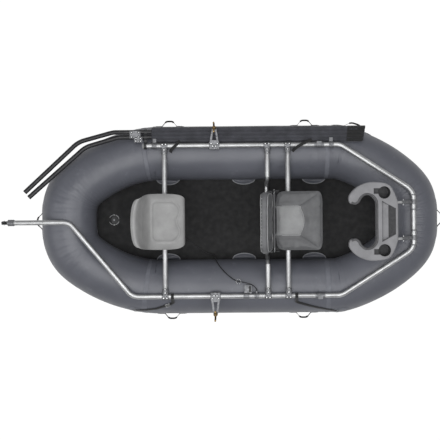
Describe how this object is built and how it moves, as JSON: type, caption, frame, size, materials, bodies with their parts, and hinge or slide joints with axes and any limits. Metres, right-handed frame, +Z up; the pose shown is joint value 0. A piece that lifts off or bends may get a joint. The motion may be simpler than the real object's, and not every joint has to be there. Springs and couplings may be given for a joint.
{
  "type": "inflatable fishing raft",
  "caption": "Inflatable fishing raft with a tubular rowing frame, two seats, standing brace, oarlocks, rod sleeve and a forked anchor arm.",
  "frame": {"origin": "on the flat underside of the floor, midway along and across the hull", "axes": "+X towards the bow, +Y to port, +Z up"},
  "size_m": [3.6723, 1.6896, 1.0461],
  "materials": {
    "hull_fabric": "coated fabric, satin",
    "floor_foam": "textured foam",
    "aluminium": "clear anodised",
    "steel": "satin",
    "bronze": "cast, satin",
    "rubber": "matt",
    "black_nylon": "matt",
    "dark_plastic": "moulded",
    "seat_plastic": "moulded, fine grain",
    "seat_fabric": "vinyl-coated cover",
    "brace_plastic": "rotomoulded, fine grain",
    "rod_plastic": "extruded, satin",
    "sleeve_fabric": "woven cover",
    "rope": "braided",
    "webbing": "woven webbing"
  },
  "bodies": {
    "raft": {"hull_tube": "hull_fabric", "hull_floor": "floor_foam", "floor_valve": "dark_plastic", "rail_port": "aluminium", "rail_starboard": "aluminium", "rail_end_cap": "rubber", "bow_hoop": "aluminium", "slip_joint_port": "aluminium", "slip_joint_starboard": "aluminium", "oarlock_holder_port": "aluminium", "oarlock_holder_starboard": "aluminium", "rower_crossbar": "aluminium", "seat_crossbar": "aluminium", "foot_bar": "aluminium", "tee_rower_port": "aluminium", "tee_rower_starboard": "aluminium", "tee_foot_port": "aluminium", "tee_foot_starboard": "aluminium", "tee_seat_port": "aluminium", "tee_seat_starboard": "aluminium", "anchor_head": "aluminium", "anchor_axle": "steel", "rower_seat": "seat_plastic", "rower_seat_clamp": "aluminium", "front_seat_base": "dark_plastic", "front_seat_cushion": "seat_fabric", "seat_hinge_pin": "steel", "brace_socket_port": "aluminium", "brace_socket_starboard": "aluminium", "brace_pin_port": "steel", "brace_pin_starboard": "steel", "rod_tube_outer": "rod_plastic", "rod_tube_inner": "rod_plastic", "rod_clamp": "dark_plastic", "rod_sleeve": "sleeve_fabric", "sleeve_hanger_stern": "aluminium", "sleeve_hanger_bow": "aluminium", "cleat_base": "aluminium", "rope_eye": "aluminium", "anchor_rope": "rope", "anchor_rope_coil": "rope", "handle_port_stern": "webbing", "handle_port_middle": "webbing", "handle_port_bow": "webbing", "handle_starboard_stern": "webbing", "handle_starboard_bow": "webbing", "handle_stern": "webbing", "handle_bow": "webbing", "strap_starboard_stern": "webbing", "strap_starboard_bow": "webbing", "strap_buckle": "steel"},
    "oarlock_port_body": {"oarlock_port": "bronze"},
    "oarlock_starboard_body": {"oarlock_starboard": "bronze"},
    "sheave_body": {"anchor_sheave": "black_nylon"},
    "seat_back_body": {"front_seat_back": "seat_fabric"},
    "brace_body": {"lean_brace": "brace_plastic", "brace_post_port": "aluminium", "brace_post_starboard": "aluminium"},
    "cleat_lever_body": {"cleat_lever": "black_nylon"}
  },
  "joints": [
    {"name": "oarlock_port_turn", "type": "hinge", "parent": "raft", "child": "oarlock_port_body", "pos_m": [-0.203, 0.768, 0.5471], "axis": [0, 0, 1], "continuous": true},
    {"name": "oarlock_starboard_turn", "type": "hinge", "parent": "raft", "child": "oarlock_starboard_body", "pos_m": [-0.203, -0.768, 0.5471], "axis": [0, 0, 1], "continuous": true},
    {"name": "anchor_sheave_spin", "type": "hinge", "parent": "raft", "child": "sheave_body", "pos_m": [-1.931, 0, 0.5583], "axis": [0, 1, 0], "continuous": true},
    {"name": "seat_back_fold", "type": "hinge", "parent": "raft", "child": "seat_back_body", "pos_m": [0.284, 0, 0.6061], "axis": [0, 1, 0], "range_deg": [0, 98]},
    {"name": "brace_height", "type": "slide", "parent": "raft", "child": "brace_body", "axis": [-0.7377, 0, 0.6751], "range_m": [0, 0.07]},
    {"name": "cleat_lever_swing", "type": "hinge", "parent": "raft", "child": "cleat_lever_body", "pos_m": [0.0825, -0.5845, 0.4838], "axis": [0, 0, -1], "range_deg": [0, 60]}
  ]
}
